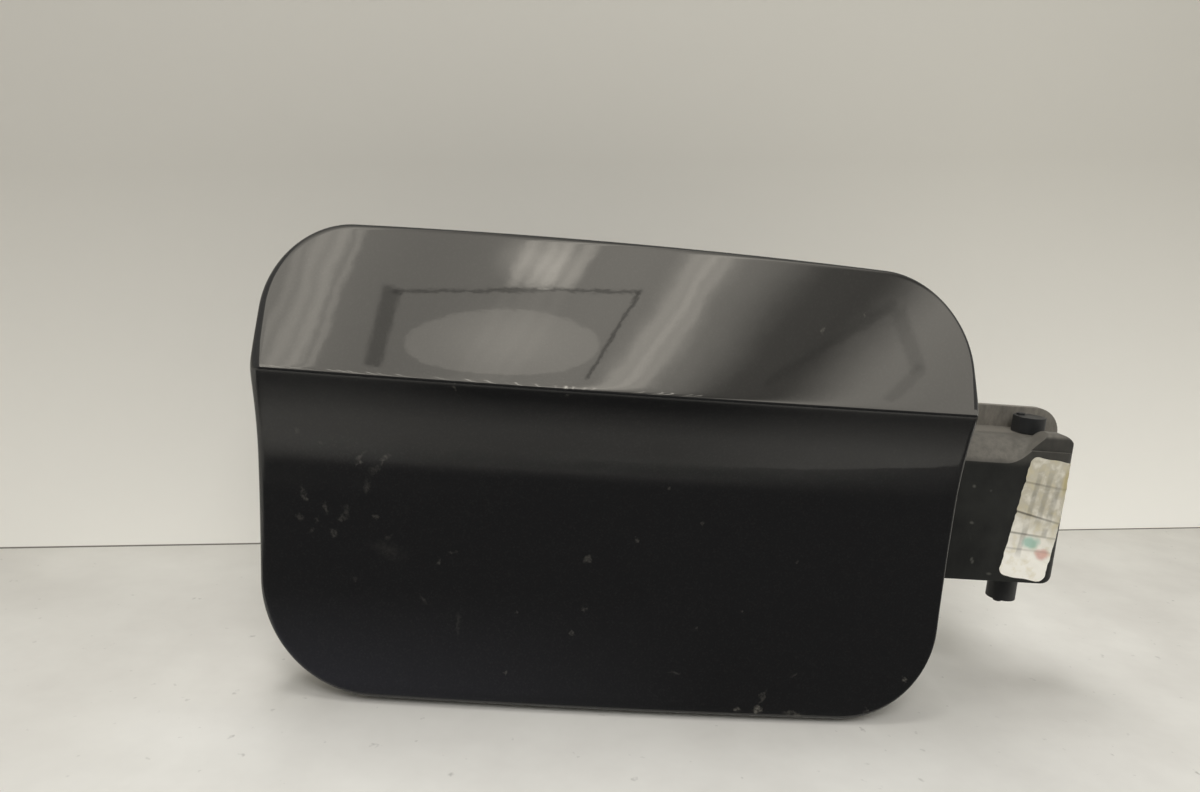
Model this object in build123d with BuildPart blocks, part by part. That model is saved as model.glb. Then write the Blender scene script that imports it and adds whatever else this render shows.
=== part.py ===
import os
from math import atan2, cos, degrees, radians, sin, tan

from build123d import *

os.makedirs("parts", exist_ok=True)

# All sizes are in millimetres. The hinge axis is the Z axis, the door's outer face looks towards -Y,
# and z = 0 is the underside of the hinge pin's head.

# Place of the panel: its right edge and its crease, seen from the hinge axis
edge_to_hinge = 37.9
crease_to_hinge = 42.0
crease_height = 11.0

# Outline of the panel from the front, measured from the middle of the crease
panel_width = 220.0
top_left_rise = 42.1
top_right_rise = 39.8
top_bow = 2.9
bottom_left_drop = 101.8
bottom_right_drop = 102.3
left_lean = 2.34  # degrees, the side nears the middle towards its foot
right_lean = 0.97
corner_top_left = 23.6
corner_top_right = 25.7
corner_bottom_right = 30.9
corner_bottom_left = 36.8

# Section of the panel from front to back
facet_lean = 32.4  # degrees, the facet above the crease leans back
crease_radius = 1.6
scoop_height = 30.0  # hollow band under the crease
scoop_depth = 5.7
swell_radius = 520.0  # lower face, which comes forward again towards its foot
bow_radius = 2467.0  # whole face, side to side
skin = 2.8  # front to back
flange_depth = 12.0
flange_wall = 2.4
edge_radius = 1.4

# Inner carrier, a ribbed plate inside the flange
carrier_setback = 17.5  # front of the plate behind the crease
carrier_plate = 2.5
carrier_gap = 3.0  # to the flange
carrier_rise = 11.0  # above the crease
carrier_corner = 10.0
rim_height = 6.0
rim_wall = 2.2
rib_height = 5.0
rib_wall = 2.0
rib_columns = 4
rib_rows = 2

# Gooseneck arm, a channel bent round the throat that takes the body's edge when the door is open
arm_bottom = -49.8
arm_wall = 3.0
arm_rib = 2.0
leg_to_edge = 4.4  # arm's face inside the panel's right edge
leg_width = 11.0
leg_ribs = 3
throat_width = 11.5
throat_floor = 38.5  # behind the hinge axis
bend_ribs = 5
flare_length = 40.0
flare_depth = 34.0

# Pivot block at the end of the arm
block_front = 17.0  # in front of the hinge axis
block_right = 8.3  # beyond the hinge axis
block_corner = 3.0
block_low_corner = 5.0
upstand_gap = 8.0  # behind the hinge axis
upstand_wall = 3.0
upstand_height = 7.5
upstand_right = 15.9
upstand_corner = 9.0
shoulder_drop = 7.9  # top of the low front wall under the seat
shoulder_run = 8.5
shoulder_round = 9.0  # where it runs into the seat
shoulder_blend = 5.0  # where it turns up to its diagonal end
runout = 3.7  # where the diagonal end meets the seat, left of the axis
lug_height = 2.6  # raised end right of the shoulder
lug_depth = 8.0
lug_corner = 5.5
lug_drop = 3.2  # ledge under the seat, where the lug's front is set back
lug_setback = 0.9
lug_round = 2.2
knuckle_wall = 2.3
knuckle_length = 14.5

# Hinge pin
head_radius = 5.4
head_height = 5.6
head_flat = 4.8  # flat's distance from the axis
gate_radius = 1.4  # stub of the moulding gate on each end
gate_height = 0.7
gate_offset = 2.2
shank_radius = 5.2
tip_radius = 5.0
tip_length = 12.0  # below the arm
pin_clearance = 0.05
seat_clearance = 0.15

# Screws that hold the carrier and the striker to bosses on the panel's back
boss_radius = 4.2
screw_radius = 1.9
screw_clearance = 0.1
screw_bite = 6.0
screw_head_radius = 4.0
screw_head_height = 2.6
screw_socket = 1.7
screw_socket_depth = 1.3
screw_margin_x = 30.0
screw_margin_low = 24.0
screw_margin_high = 9.0

# Latch striker at the free end, a tongue with a window for the lock's bolt
striker_margin = 26.0
striker_height = -24.0
striker_base = 3.0
striker_base_x = 13.0
striker_base_z = 40.0
striker_screw_span = 28.0
striker_reach = 24.0
striker_wall = 5.0
striker_width = 17.0
striker_corner = 3.0
window_width = 9.0
window_reach = 8.0
window_lip = 4.0

# Rubber buffers at the free end
buffer_margin = 22.0
buffer_inset_low = 36.0
buffer_inset_high = 10.0
buffer_radius = 6.5
buffer_height = 8.0
buffer_dome = 3.0
buffer_stem = 3.0
buffer_barb = 3.7
buffer_barb_length = 2.5

# Blank label on the pivot block
label_width = 16.3
label_length = 42.6
label_thickness = 0.2
label_tilt = -7.0  # degrees
label_x = -1.1
label_z = -27.2
label_corner = 2.4

# Places worked out from the sizes above
panel_right = -edge_to_hinge
panel_x = panel_right - panel_width / 2
panel_left = panel_right - panel_width
crease_y = -crease_to_hinge
carrier_front = crease_y + carrier_setback
carrier_back = carrier_front + carrier_plate
carrier_top = crease_height + carrier_rise
carrier_inset = flange_wall + carrier_gap
arm_top = -seat_clearance
arm_middle = (arm_bottom + arm_top - arm_rib) / 2
leg_right = panel_right - leg_to_edge
leg_left = leg_right - leg_width
block_left = leg_right + throat_width
block_width = block_right - block_left
throat_radius = throat_width / 2
bend = (leg_right + throat_radius, throat_floor - throat_radius)
upstand_back = upstand_gap + upstand_wall
knuckle_radius = shank_radius + pin_clearance + knuckle_wall
screw_hole = screw_radius + screw_clearance
pin_foot = arm_bottom - tip_length
reach = panel_width  # long enough to pass through every piece


def corner_points():
    # Corners of the panel before they are rounded, as x and z
    left = tan(radians(left_lean))
    right = tan(radians(right_lean))
    top_left = (panel_left - top_left_rise * left, crease_height + top_left_rise)
    bottom_left = (panel_left + bottom_left_drop * left, crease_height - bottom_left_drop)
    bottom_right = (panel_right - bottom_right_drop * right, crease_height - bottom_right_drop)
    top_right = (panel_right + top_right_rise * right, crease_height + top_right_rise)
    return top_left, bottom_left, bottom_right, top_right


def outline(inset, y=0, top=None):
    # Panel outline from the front, drawn in by the inset, and cut off at a top height if one is given
    corners = corner_points()
    top_left, top_right = corners[0], corners[3]
    top_middle = (panel_x, (top_left[1] + top_right[1]) / 2 + top_bow)
    radii = (corner_top_left, corner_bottom_left, corner_bottom_right, corner_top_right)
    with BuildSketch(Plane.XZ.offset(-y)) as shape:
        with BuildLine():
            Polyline(*corners)
            ThreePointArc(top_right, top_middle, top_left)
        make_face()
        for corner, radius in zip(corners, radii):
            fillet(shape.vertices().sort_by_distance((*corner, 0))[0], radius)
        if inset > 0:
            offset(amount=-inset)
        if top is not None:
            with Locations((panel_x, top)):
                Rectangle(2 * panel_width, reach, align=(Align.CENTER, Align.MIN), mode=Mode.SUBTRACT)
            fillet([v for v in shape.vertices() if abs(v.Y - top) < 0.01], carrier_corner)
    return shape.sketch


def face_slab(front, back):
    # Slab that follows the outer face between two depths behind it
    rise = top_left_rise + top_right_rise
    drop = (bottom_left_drop + bottom_right_drop) / 2
    turn = degrees(1.5 * panel_width / bow_radius)
    bow_axis = Axis((panel_x, crease_y + bow_radius, 0), (0, 0, 1))
    with BuildPart() as slab:
        with BuildSketch(Plane.YZ.offset(panel_x)) as section:
            with BuildLine():
                ends = []
                for depth in (front, back):
                    crease = (crease_y + depth, crease_height)
                    top = (crease[0] + rise * tan(radians(facet_lean)), crease_height + rise)
                    foot = (crease[0] + scoop_depth, crease_height - scoop_height)
                    end = (foot[0] - drop**2 / 2 / swell_radius, foot[1] - drop)
                    Line(top, crease)
                    TangentArc(foot, crease, tangent=(0, 1))
                    TangentArc(foot, end, tangent=(0, -1))
                    ends.append((top, end))
                Line(ends[0][0], ends[1][0])
                Line(ends[0][1], ends[1][1])
            make_face()
            at_crease = [v for v in section.vertices() if abs(v.Y - crease_height) < 0.01]
            fillet(at_crease, crease_radius)
        revolve(axis=bow_axis, revolution_arc=turn)
    return slab.part.rotate(bow_axis, -turn / 2)


def front_rim(part):
    # Edges round the outer face: each belongs to one front face only
    front = [f for f in part.faces() if f.normal_at(f.center()).Y < -0.5]
    edges = [e for f in front for e in f.edges()]
    return [e for e in edges if sum(e.is_same(other) for other in edges) == 1]


# Screw and buffer places on the carrier, as x and z; two screws also hold the striker
panel_foot = crease_height - min(bottom_left_drop, bottom_right_drop)
carrier_screw_places = [
    (x, z)
    for x in (panel_x, panel_right - screw_margin_x)
    for z in (panel_foot + screw_margin_low, carrier_top - screw_margin_high)
]
striker_x = panel_left + striker_margin
striker_screw_places = [(striker_x, striker_height + side * striker_screw_span / 2) for side in (-1, 1)]
buffer_places = {
    "upper_buffer": (panel_left + buffer_margin, carrier_top - buffer_inset_high),
    "lower_buffer": (panel_left + buffer_margin, panel_foot + buffer_inset_low),
}

# Outer panel, a painted tray with a return flange and screw bosses
with BuildPart() as panel_hollow:
    extrude(outline(flange_wall), amount=reach, both=True)
    add(face_slab(skin, 2 * flange_depth), mode=Mode.INTERSECT)

with BuildPart() as panel_bosses:
    with BuildSketch(Plane.XZ.offset(-carrier_front)):
        with Locations(*carrier_screw_places, *striker_screw_places):
            Circle(boss_radius)
            Circle(screw_hole, mode=Mode.SUBTRACT)
    extrude(amount=carrier_setback)
    add(face_slab(skin / 2, carrier_setback), mode=Mode.INTERSECT)

with BuildPart() as outer_panel:
    extrude(outline(0), amount=reach, both=True)
    add(face_slab(0, flange_depth), mode=Mode.INTERSECT)
    fillet(front_rim(outer_panel), edge_radius)
    add(panel_hollow.part, mode=Mode.SUBTRACT)
    add(panel_bosses.part)
outer_panel.part.label = "outer_panel"
export_step(outer_panel.part, "parts/outer_panel.step")


def arm_plan(z):
    # Flange of the arm from above: left leg with its flare on the carrier, bend and right leg
    flare_start = (leg_left - flare_length, carrier_back)
    flare_end = (leg_left, carrier_back + flare_depth)
    with BuildSketch(Plane.XY.offset(z)) as plan:
        with BuildLine():
            Polyline(
                flare_start,
                (flare_start[0], carrier_front),
                (leg_right, carrier_front),
                (leg_right, bend[1]),
            )
            CenterArc(bend, throat_radius, 180, -180)
            Polyline(
                (block_left, bend[1]),
                (block_left, upstand_gap),
                (block_left + leg_width, upstand_gap),
                (block_left + leg_width, bend[1]),
            )
            CenterArc(bend, throat_radius + leg_width, 0, 180)
            Line((leg_left, bend[1]), flare_end)
            TangentArc(flare_start, flare_end, tangent=(1, 0))
        make_face()
    return plan.sketch


def web_plan(z):
    # Wall of the arm along the throat, and the ribs that cross the channel
    with BuildSketch(Plane.XY.offset(z)) as plan:
        with BuildLine():
            Polyline(
                (leg_right, bend[1]),
                (leg_right, carrier_front),
                (leg_right - arm_wall, carrier_front),
                (leg_right - arm_wall, bend[1]),
            )
            CenterArc(bend, throat_radius + arm_wall, 180, -180)
            Polyline(
                (block_left + arm_wall, bend[1]),
                (block_left + arm_wall, upstand_gap),
                (block_left, upstand_gap),
                (block_left, bend[1]),
            )
            CenterArc(bend, throat_radius, 0, 180)
        make_face()
        with Locations(bend):
            with PolarLocations(throat_radius + leg_width / 2, bend_ribs, 0, 180, endpoint=True):
                Rectangle(leg_width, arm_rib)
        leg_span = bend[1] - carrier_back
        with Locations((leg_left + leg_width / 2, carrier_back + leg_span / 2)):
            with GridLocations(0, leg_span / (leg_ribs + 1), 1, leg_ribs):
                Rectangle(leg_width, arm_rib)
    return plan.sketch


def block_plan(z, grow=0):
    # Pivot block from above, with its front right corner rounded
    with BuildSketch(Plane.XY.offset(z)) as plan:
        with Locations((block_left, -block_front)):
            Rectangle(block_width, block_front + upstand_back, align=Align.MIN)
        fillet(plan.vertices().sort_by_distance((block_right, -block_front, 0))[0], block_corner)
        if grow > 0:
            offset(amount=grow)
    return plan.sketch


def shoulder(depth):
    # Space above the sloping shoulder of the pivot block, with its faces sunk by a depth
    slope = atan2(shoulder_drop, shoulder_run)
    low = (-block_front + depth * sin(slope), arm_top - shoulder_drop - depth * cos(slope))
    foot = (low[0] - reach * cos(slope), low[1] - reach * sin(slope))
    crest = (low[0] + (arm_top - depth - low[1]) / tan(slope), arm_top - depth)
    left = block_left - throat_radius
    side = (left, arm_top + left + runout - depth / cos(radians(45)))
    with BuildPart() as space:
        with BuildSketch(Plane.YZ.offset(left)) as section:
            Polygon(foot, crest, (reach, crest[1]), (reach, reach), (foot[0], reach), align=None)
            fillet(section.vertices().sort_by_distance((*crest, 0))[0], shoulder_round)
        extrude(amount=reach)
        with BuildSketch(Plane.XZ):
            far = (side[0] + 2 * reach, side[1] + 2 * reach)
            Polygon(side, far, (side[0], far[1]), align=None)
        extrude(amount=2 * reach, both=True, mode=Mode.INTERSECT)
        diagonal = space.faces().filter_by(lambda f: f.normal_at(f.center()).X > 0.5)[0]
        under = space.faces().filter_by(lambda f: f.normal_at(f.center()).Z < -0.5 and f != diagonal)
        ends = [e for f in under for e in f.edges() if any(e.is_same(d) for d in diagonal.edges())]
        fillet(ends, shoulder_blend)
    return space.part


# Pivot block, a box with a sloping shoulder, an upstand behind the pin and two knuckles inside
with BuildPart() as block_cavity:
    with BuildSketch(Plane.XY.offset(arm_bottom + arm_wall)):
        with Locations((block_left + arm_wall, arm_wall - block_front)):
            Rectangle(block_width - 2 * arm_wall, reach, align=Align.MIN)
    extrude(amount=arm_top - arm_bottom - 2 * arm_wall)
    add(shoulder(arm_wall), mode=Mode.SUBTRACT)

with BuildPart() as pivot_block:
    extrude(block_plan(arm_bottom), amount=lug_height - arm_bottom)
    with BuildSketch(Plane.XZ.offset(block_front)) as front:
        with Locations((block_left, arm_bottom)):
            Rectangle(block_width, lug_height - arm_bottom, align=Align.MIN)
        fillet(front.vertices().sort_by_distance((block_right, arm_bottom, 0))[0], block_low_corner)
        fillet(front.vertices().sort_by_distance((block_right, lug_height, 0))[0], lug_corner)
    extrude(amount=-block_front - upstand_back, mode=Mode.INTERSECT)
    with BuildSketch(Plane.YZ.offset(block_left)) as side:
        Polygon(
            (upstand_back, arm_bottom),
            (-block_front, arm_bottom),
            (-block_front, arm_top - lug_drop),
            (lug_setback - block_front, arm_top - lug_drop),
            (lug_setback - block_front, lug_height),
            (lug_depth - block_front, lug_height),
            (lug_depth - block_front, arm_top),
            (upstand_back, arm_top),
            align=None,
        )
        fillet(side.vertices().group_by(Axis.Y)[-1], lug_round)
    extrude(amount=block_width, mode=Mode.INTERSECT)
    add(shoulder(0), mode=Mode.SUBTRACT)
    with BuildSketch(Plane.XZ.offset(-upstand_gap)) as upstand:
        with Locations((block_left, arm_bottom)):
            Rectangle(upstand_right - block_left, upstand_height - arm_bottom, align=Align.MIN)
        fillet(upstand.vertices().group_by(Axis.X)[-1], upstand_corner)
    extrude(amount=-upstand_wall)
    add(block_cavity.part, mode=Mode.SUBTRACT)
    for low in (arm_bottom, arm_top - knuckle_length):
        with BuildSketch(Plane.XY.offset(low)):
            Circle(knuckle_radius)
        extrude(amount=knuckle_length)
    with BuildSketch(Plane.XY.offset(arm_bottom)):
        with Locations((0, arm_wall / 2 - block_front)):
            Rectangle(arm_rib, block_front, align=(Align.CENTER, Align.MIN))
    extrude(amount=arm_top - shoulder_drop - arm_bottom)
    with BuildSketch(Plane.XY.offset(arm_middle)):
        with Locations((block_left + arm_wall / 2, arm_wall / 2 - block_front)):
            Rectangle(block_width - arm_wall, block_front + upstand_gap, align=Align.MIN)
    extrude(amount=arm_rib)
    with BuildSketch(Plane.XY.offset(arm_bottom)):
        Circle(shank_radius + pin_clearance)
    extrude(amount=arm_top - arm_bottom, mode=Mode.SUBTRACT)

# Inner carrier: ribbed plate, gooseneck arm and pivot block, moulded as one
column_pitch = (panel_width - 2 * carrier_inset) / (rib_columns + 1)
row_pitch = (carrier_top - panel_foot - carrier_inset) / (rib_rows + 1)
first_rib = panel_left + carrier_inset + column_pitch
with BuildPart() as carrier_ribs:
    with BuildSketch(Plane.XZ.offset(-carrier_back - rib_height)):
        for column in range(rib_columns):
            with Locations((first_rib + column * column_pitch, 0)):
                Rectangle(rib_wall, 2 * reach)
        for row in range(rib_rows):
            with Locations((first_rib, carrier_top - (row + 1) * row_pitch)):
                Rectangle(leg_right - first_rib, rib_wall, align=(Align.MIN, Align.CENTER))
    extrude(amount=rib_height + carrier_plate / 2)
    extrude(outline(carrier_inset, top=carrier_top), amount=reach, both=True, mode=Mode.INTERSECT)

with BuildPart() as inner_carrier:
    extrude(outline(carrier_inset, carrier_back, carrier_top), amount=carrier_plate)
    extrude(outline(carrier_inset, carrier_back + rim_height, carrier_top), amount=rim_height)
    inside = outline(carrier_inset + rim_wall, carrier_back + rim_height, carrier_top - rim_wall)
    extrude(inside, amount=rim_height, mode=Mode.SUBTRACT)
    add(carrier_ribs.part)
    extrude(arm_plan(arm_bottom), amount=arm_wall)
    extrude(arm_plan(arm_middle), amount=arm_rib)
    extrude(arm_plan(arm_top), amount=-arm_wall)
    extrude(web_plan(arm_bottom), amount=arm_top - arm_bottom)
    add(pivot_block.part)
    with BuildSketch(Plane.XZ.offset(-carrier_back)):
        with Locations(*carrier_screw_places, *striker_screw_places):
            Circle(screw_hole)
        with Locations(*buffer_places.values()):
            Circle(buffer_stem)
    extrude(amount=carrier_plate, mode=Mode.SUBTRACT)
inner_carrier.part.label = "inner_carrier"
export_step(inner_carrier.part, "parts/inner_carrier.step")

# Hinge pin with a flat on its head and a thinner tip
with BuildPart() as hinge_pin:
    with BuildSketch():
        Circle(head_radius)
        with Locations((-head_flat, 0)):
            Rectangle(head_radius, 2 * head_radius, align=(Align.MAX, Align.CENTER), mode=Mode.SUBTRACT)
    extrude(amount=head_height)
    with BuildSketch(Plane.XY.offset(arm_bottom)):
        Circle(shank_radius)
    extrude(amount=-arm_bottom)
    with BuildSketch(Plane.XY.offset(pin_foot)):
        Circle(tip_radius)
    extrude(amount=tip_length)
    for end, side in ((head_height, 1), (pin_foot, -1)):
        with BuildSketch(Plane.XY.offset(end)):
            with Locations((-gate_offset, side * gate_offset)):
                Circle(gate_radius)
        extrude(amount=side * gate_height)
hinge_pin.part.label = "hinge_pin"
export_step(hinge_pin.part, "parts/hinge_pin.step")

# Latch striker: a base under two screws and a tongue with a window
with BuildPart() as latch_striker:
    with BuildSketch(Plane.XZ.offset(-carrier_back - striker_base)):
        with Locations((striker_x, striker_height)):
            RectangleRounded(striker_base_x, striker_base_z, striker_corner)
        with Locations(*striker_screw_places):
            Circle(screw_hole, mode=Mode.SUBTRACT)
    extrude(amount=striker_base)
    with BuildSketch(Plane.YZ.offset(striker_x)) as tongue:
        with Locations((carrier_back, striker_height)):
            Rectangle(striker_reach, striker_width, align=(Align.MIN, Align.CENTER))
        fillet(tongue.vertices().group_by(Axis.X)[-1], striker_corner)
        with Locations((carrier_back + striker_reach - window_lip, striker_height)):
            Rectangle(window_reach, window_width, align=(Align.MAX, Align.CENTER), mode=Mode.SUBTRACT)
    extrude(amount=striker_wall / 2, both=True)
latch_striker.part.label = "latch_striker"
export_step(latch_striker.part, "parts/latch_striker.step")

# Screws of the carrier and the striker, a group of separate solids
with BuildPart() as carrier_screws:
    for seat, places in (
        (carrier_back, carrier_screw_places),
        (carrier_back + striker_base, striker_screw_places),
    ):
        with BuildSketch(Plane.XZ.offset(-seat)):
            with Locations(*places):
                Circle(screw_head_radius)
        extrude(amount=-screw_head_height)
        with BuildSketch(Plane.XZ.offset(-seat)):
            with Locations(*places):
                Circle(screw_radius)
        extrude(amount=seat - carrier_front + screw_bite)
        with BuildSketch(Plane.XZ.offset(-seat - screw_head_height)):
            with Locations(*places):
                RegularPolygon(screw_socket, 6)
        extrude(amount=screw_socket_depth, mode=Mode.SUBTRACT)
carrier_screws.part.label = "carrier_screws"
export_step(carrier_screws.part, "parts/carrier_screws.step")

# Rubber buffers, pushed into the carrier
for name, (x, z) in buffer_places.items():
    tip = carrier_back + buffer_height
    with BuildPart() as rubber_buffer:
        with BuildSketch(Plane(origin=(x, 0, z), x_dir=(1, 0, 0), z_dir=(0, 0, 1))):
            with BuildLine():
                Polyline(
                    (0, tip),
                    (0, carrier_front - buffer_barb_length),
                    (buffer_stem, carrier_front - buffer_barb_length),
                    (buffer_barb, carrier_front),
                    (buffer_stem, carrier_front),
                    (buffer_stem, carrier_back),
                    (buffer_radius, carrier_back),
                    (buffer_radius, tip - buffer_dome),
                )
                TangentArc((0, tip), (buffer_radius, tip - buffer_dome), tangent=(1, 0))
            make_face()
        revolve(axis=Axis((x, 0, z), (0, 1, 0)))
    rubber_buffer.part.label = name
    export_step(rubber_buffer.part, f"parts/{name}.step")

# Blank label, bent round the front right corner of the pivot block
with BuildPart() as blank_label:
    with BuildSketch(Plane.XZ.offset(block_front + block_corner)):
        with Locations(Location((label_x, label_z), label_tilt)):
            RectangleRounded(label_width, label_length, label_corner)
    extrude(amount=-2 * block_corner)
    extrude(block_plan(arm_bottom, label_thickness), amount=-arm_bottom, mode=Mode.INTERSECT)
    extrude(block_plan(arm_bottom), amount=-arm_bottom, mode=Mode.SUBTRACT)
blank_label.part.label = "blank_label"
export_step(blank_label.part, "parts/blank_label.step")
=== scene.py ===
# Car fuel door with its gooseneck hinge arm, dressed for a photo on a pale shelf
from math import cos, radians, sin, tan

import bpy
import numpy as np
from mathutils import Matrix, Vector


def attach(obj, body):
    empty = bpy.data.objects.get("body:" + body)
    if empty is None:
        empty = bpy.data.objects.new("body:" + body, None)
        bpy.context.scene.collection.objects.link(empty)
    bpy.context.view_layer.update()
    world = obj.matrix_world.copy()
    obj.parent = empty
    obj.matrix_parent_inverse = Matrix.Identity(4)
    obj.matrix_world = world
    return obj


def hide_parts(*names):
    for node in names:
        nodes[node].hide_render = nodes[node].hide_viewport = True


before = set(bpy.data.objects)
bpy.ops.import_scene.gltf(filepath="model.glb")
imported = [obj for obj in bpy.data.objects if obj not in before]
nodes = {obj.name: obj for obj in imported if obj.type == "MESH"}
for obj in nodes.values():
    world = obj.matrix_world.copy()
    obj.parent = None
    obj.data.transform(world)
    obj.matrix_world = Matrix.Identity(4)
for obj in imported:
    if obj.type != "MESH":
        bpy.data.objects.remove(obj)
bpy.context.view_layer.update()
scene = bpy.context.scene
scene.view_settings.view_transform = "Standard"
mm = 0.001
sharpAngle = radians(32)  # edges that turn more than this stay sharp
smooth = {"interpolation_type": "SMOOTHSTEP"}
print("solids:", ", ".join(sorted(nodes)))


def toLinear(hexColour):
    # sRGB hex text to a linear colour with full alpha
    srgb = np.array([int(hexColour[i:i + 2], 16) for i in (1, 3, 5)]) / 255
    linear = np.where(srgb < 0.04045, srgb / 12.92, ((srgb + 0.055) / 1.055) ** 2.4)
    return (*linear.tolist(), 1.0)


def addNode(tree, kind, *inputs, **settings):
    # one node: its properties, then the value of each input or the socket that feeds it; gives its first output
    node = tree.nodes.new("ShaderNode" + kind)
    for name, value in settings.items():
        setattr(node, name, value)
    for name, value in (entry for part in inputs for entry in part.items()):
        if isinstance(value, bpy.types.NodeSocket):
            tree.links.new(value, node.inputs[name])
        else:
            node.inputs[name].default_value = value
    return node.outputs[0]


def fromTo(marks, unit=1):
    # inputs of a Map Range: where it starts and is full, in the unit, and its values there if not 0 and 1
    names = ("From Min", "From Max", "To Min", "To Max")
    return dict(zip(names, (marks[0] * unit, marks[1] * unit, *marks[2:])))


def startMaterial(name, values=None):
    # new material, its node tree, the object coordinates in metres and its principled shader with these values
    material = bpy.data.materials.new(name)
    material.use_nodes = True
    tree = material.node_tree
    shader = tree.nodes["Principled BSDF"]
    for socket, value in (values or {}).items():
        shader.inputs[socket].default_value = value
    place = addNode(tree, "TexCoord").node.outputs["Object"]
    return material, tree, place, shader


def blendColour(tree, factor, under, over):
    # colour that goes from under to over as factor goes from 0 to 1, each a hex or a socket
    under, over = (toLinear(colour) if isinstance(colour, str) else colour for colour in (under, over))
    return addNode(tree, "Mix", {0: factor, 6: under, 7: over}, data_type="RGBA").node.outputs[2]


def joinMasks(tree, operation, masks):
    # several masks made one: their product or the greatest of them
    joined = masks[0]
    for mask in masks[1:]:
        joined = addNode(tree, "Math", {0: joined, 1: mask}, operation=operation)
    return joined


def gridFaces(index):
    # faces between neighbours on a grid of point numbers
    corners = (index[:-1, :-1], index[:-1, 1:], index[1:, 1:], index[1:, :-1])
    return np.stack(corners, -1).reshape(-1, 4)


def meshObject(name, points, blocks, materials, slots=None):
    # mesh from whole arrays of points in mm and blocks of faces, smooth but for its sharp corners
    mesh = bpy.data.meshes.new(name)
    mesh.from_pydata(points * mm, [], [face for block in blocks for face in block.tolist()])
    for material in materials:
        mesh.materials.append(material)
    if slots is not None:
        mesh.polygons.foreach_set("material_index", slots)
    mesh.polygons.foreach_set("use_smooth", np.ones(len(mesh.polygons), bool))
    mesh.set_sharp_from_angle(angle=sharpAngle)
    mesh.validate()
    piece = bpy.data.objects.new(name, mesh)
    scene.collection.objects.link(piece)
    return piece


# Camera, solved from the panel's outline in the photo
cameraSpec = {
    "place": (-169.475, -293.744, 54.687),  # mm
    "yaw": 0.0584,
    "pitch": 0.1755,  # downwards
    "roll": 0.0774,
    "focal": 868.45,  # pixels
    "pictureWidth": 1200,  # pixels
    "sensor": 36,
}


def aimCamera(spec):
    # forward from yaw and pitch, right level with the ground, then both turned by the roll
    yaw, pitch, roll = spec["yaw"], spec["pitch"], spec["roll"]
    forward = Vector((sin(yaw) * cos(pitch), cos(yaw) * cos(pitch), -sin(pitch)))
    level = Vector((cos(yaw), -sin(yaw), 0))
    upward = level.cross(forward)
    right = level * cos(roll) + upward * sin(roll)
    up = upward * cos(roll) - level * sin(roll)
    data = bpy.data.cameras.new("photoCamera")
    data.sensor_fit = "HORIZONTAL"
    data.sensor_width = spec["sensor"]
    data.lens = spec["focal"] / spec["pictureWidth"] * spec["sensor"]
    data.clip_start = 10 * mm
    camera = bpy.data.objects.new("photoCamera", data)
    turn = Matrix((right, up, -forward)).transposed().to_4x4()
    camera.matrix_world = Matrix.Translation(Vector(spec["place"]) * mm) @ turn
    scene.collection.objects.link(camera)
    scene.camera = camera


aimCamera(cameraSpec)
print("camera set")


# Stage: shelf, wall, sky and lamps, in mm
stageSpec = {
    "floorZ": -93.1,  # the door rests on its back edge, with a dark gap in front
    "floorSize": 8000,
    "floorColours": ("#dcd9d2", "#efede6"),
    "floorClouds": {"Scale": 14, "Detail": 5, "Roughness": 0.6},  # 14 to a metre
    "floorTone": (0.3, 0.7),
    "floorLeft": (-150, -400, 0, 0.3),  # x where the painted shade of the left end starts and is full, how much of it
    "floorLeftColour": "#b5b2aa",
    "grit": {"Scale": 1 / (4 * mm), "Detail": 2},
    "gritMarks": (0.71, 0.82, 0, 0.45),
    "wallLine": ((-399.4, 69.3), (244.1, 210.5)),  # foot of the wall, x and y
    "wallReach": 3000,  # to each side of the left end of that line
    "wallHeight": 330,
    # the wall's pale foot and its greyer top and left end are painted light and shade
    "wallLow": "#f3f1ea",
    "wallHigh": "#d1cec5",
    "wallRise": (-90, 130),  # heights where low turns to high
    "wallSlope": (200, 0.11),  # left of this x the pale foot gets lower by this share
    "wallLeft": (50, -400),
    "wallLeftColour": "#c5c2ba",
    "wallGlow": (0, 1, 0.22, 0.07),  # what the eye sees added at the foot and at the top
    "gritAndCornerShade": "#77736b",  # colour of the shelf's grit marks and of the painted shade where wall and shelf meet
    "cornerShade": (0.8, 0.5),  # heights where the painted corner shade ends and is full
    "sky": "#f3f1ec",
    "skyLevel": 0.43,
    "lamps": (("topLight", (-370, 60, 1090), (-260, 60, 0), (800, 320), 5.7),
              ("keyLight", (-110, -580, 520), (-40, 0, -30), (350, 350), 2.3)),  # place, aim, size, watts
}


def sheetBetween(name, corner, along, across, material, count=2):
    # flat sheet: corner + u * along + v * across
    u, v = np.meshgrid(np.linspace(0, 1, count), np.linspace(0, 1, count))
    points = np.array(corner) + u.reshape(-1, 1) * np.array(along) + v.reshape(-1, 1) * np.array(across)
    faces = gridFaces(np.arange(count * count).reshape(count, count))
    sheet = meshObject(name, points, [faces], [material])
    return sheet


def seenFromFront(tree, shader):
    # the sheet lets the eye through from behind, so that it hides nothing in the other views
    facing = addNode(tree, "NewGeometry").node.outputs["Backfacing"]
    clear = addNode(tree, "BsdfTransparent")
    both = addNode(tree, "MixShader", {0: facing, 1: shader, 2: clear})
    tree.links.new(both, tree.nodes["Material Output"].inputs["Surface"])


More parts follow.
